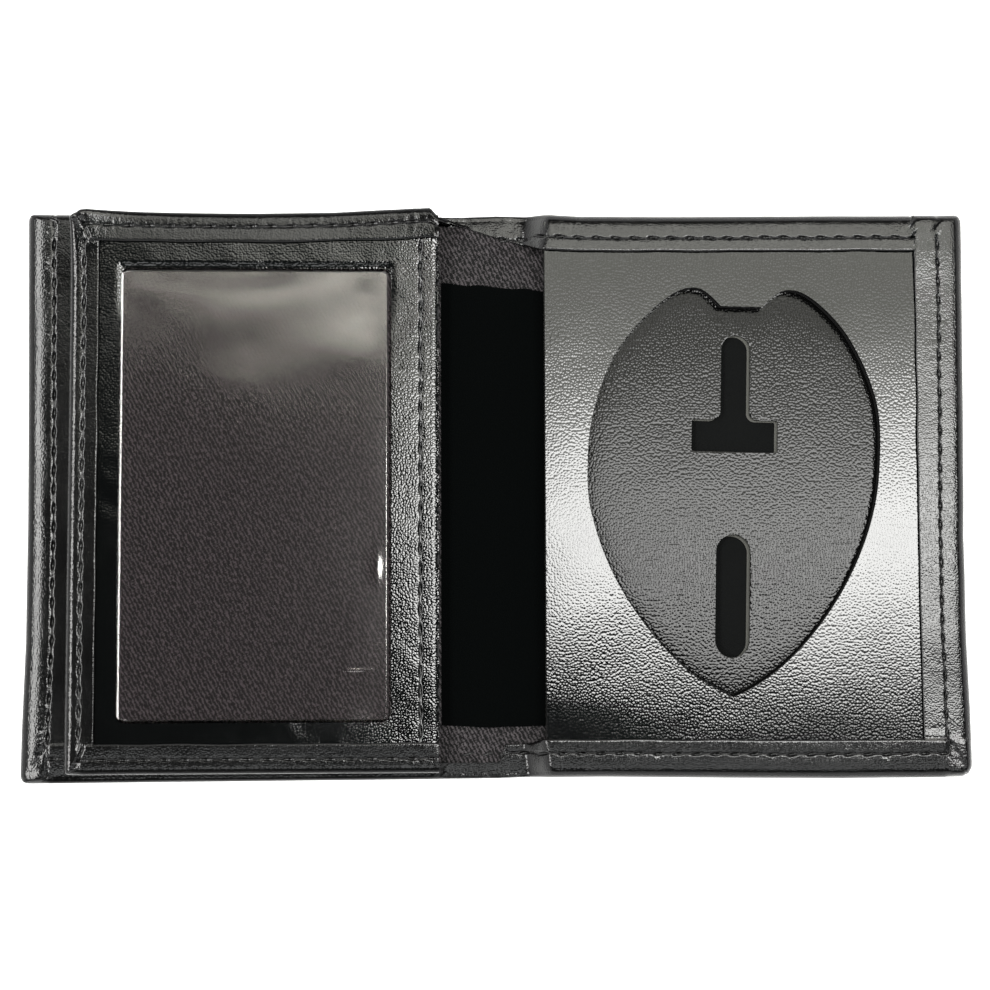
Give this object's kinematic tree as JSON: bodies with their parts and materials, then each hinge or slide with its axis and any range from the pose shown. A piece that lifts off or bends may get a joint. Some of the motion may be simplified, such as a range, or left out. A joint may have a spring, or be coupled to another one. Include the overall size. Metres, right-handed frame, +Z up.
{
  "type": "id badge wallet",
  "caption": "Bifold leather wallet with a recessed shield-shaped badge panel and a flip-out card leaf with clear windows.",
  "frame": {"origin": "on the surface that the open wallet lies on, under the middle of its length and height", "axes": "+X across the open wallet from the card leaf to the badge panel, +Y up the height of the wallet, +Z up from the surface"},
  "size_m": [0.18, 0.108, 0.0067],
  "materials": {
    "shell_leather": "smooth black nappa leather, satin",
    "grained_leather": "black pebble-grained leather, semi-gloss",
    "twill_lining": "black cotton twill",
    "spine_strip_fabric": "smooth black velvet-like strip",
    "felt": "black felt, matte",
    "stiffening_card": "plain fibre board",
    "clear_vinyl": "clear soft vinyl sheet, glossy",
    "thread": "black bonded nylon thread"
  },
  "bodies": {
    "spine": {"spine_leather": "shell_leather", "spine_lining": "twill_lining", "spine_strip": "spine_strip_fabric", "spine_stitching": "thread"},
    "left_cover": {"left_cover_leather": "shell_leather", "left_cover_board": "stiffening_card", "left_cover_lining": "twill_lining", "left_pocket_panel": "shell_leather", "left_strip_end": "spine_strip_fabric", "left_cover_stitching": "thread", "leaf_hinge_strip": "twill_lining"},
    "right_cover": {"right_cover_leather": "shell_leather", "right_cover_board": "stiffening_card", "right_cover_lining": "twill_lining", "right_strip_end": "spine_strip_fabric", "badge_backing_felt": "felt", "badge_seat_leather": "grained_leather", "badge_panel_core": "stiffening_card", "badge_panel_face": "grained_leather", "right_cover_stitching": "thread"},
    "leaf": {"leaf_binding_leather": "shell_leather", "leaf_back_window": "clear_vinyl", "leaf_divider": "twill_lining", "leaf_front_window": "clear_vinyl", "leaf_front_frame": "grained_leather", "leaf_stitching": "thread", "leaf_hem_stitching": "thread"}
  },
  "joints": [
    {"name": "left_fold", "type": "hinge", "parent": "spine", "child": "left_cover", "pos_m": [-0.006, 0, 0.0022], "axis": [0, 1, 0], "range_deg": [0, 90], "deforming": ["spine_leather", "spine_lining", "spine_strip", "spine_stitching"]},
    {"name": "right_fold", "type": "hinge", "parent": "spine", "child": "right_cover", "pos_m": [0.006, 0, 0.0022], "axis": [0, -1, 0], "range_deg": [0, 90]},
    {"name": "leaf_flip", "type": "hinge", "parent": "left_cover", "child": "leaf", "pos_m": [-0.0102, 0, 0.0042], "axis": [0, 1, 0], "range_deg": [0, 165], "deforming": ["leaf_hinge_strip"]}
  ],
  "couplings": [
    {"joint": "right_fold", "follows": "left_fold", "ratio": 1}
  ]
}
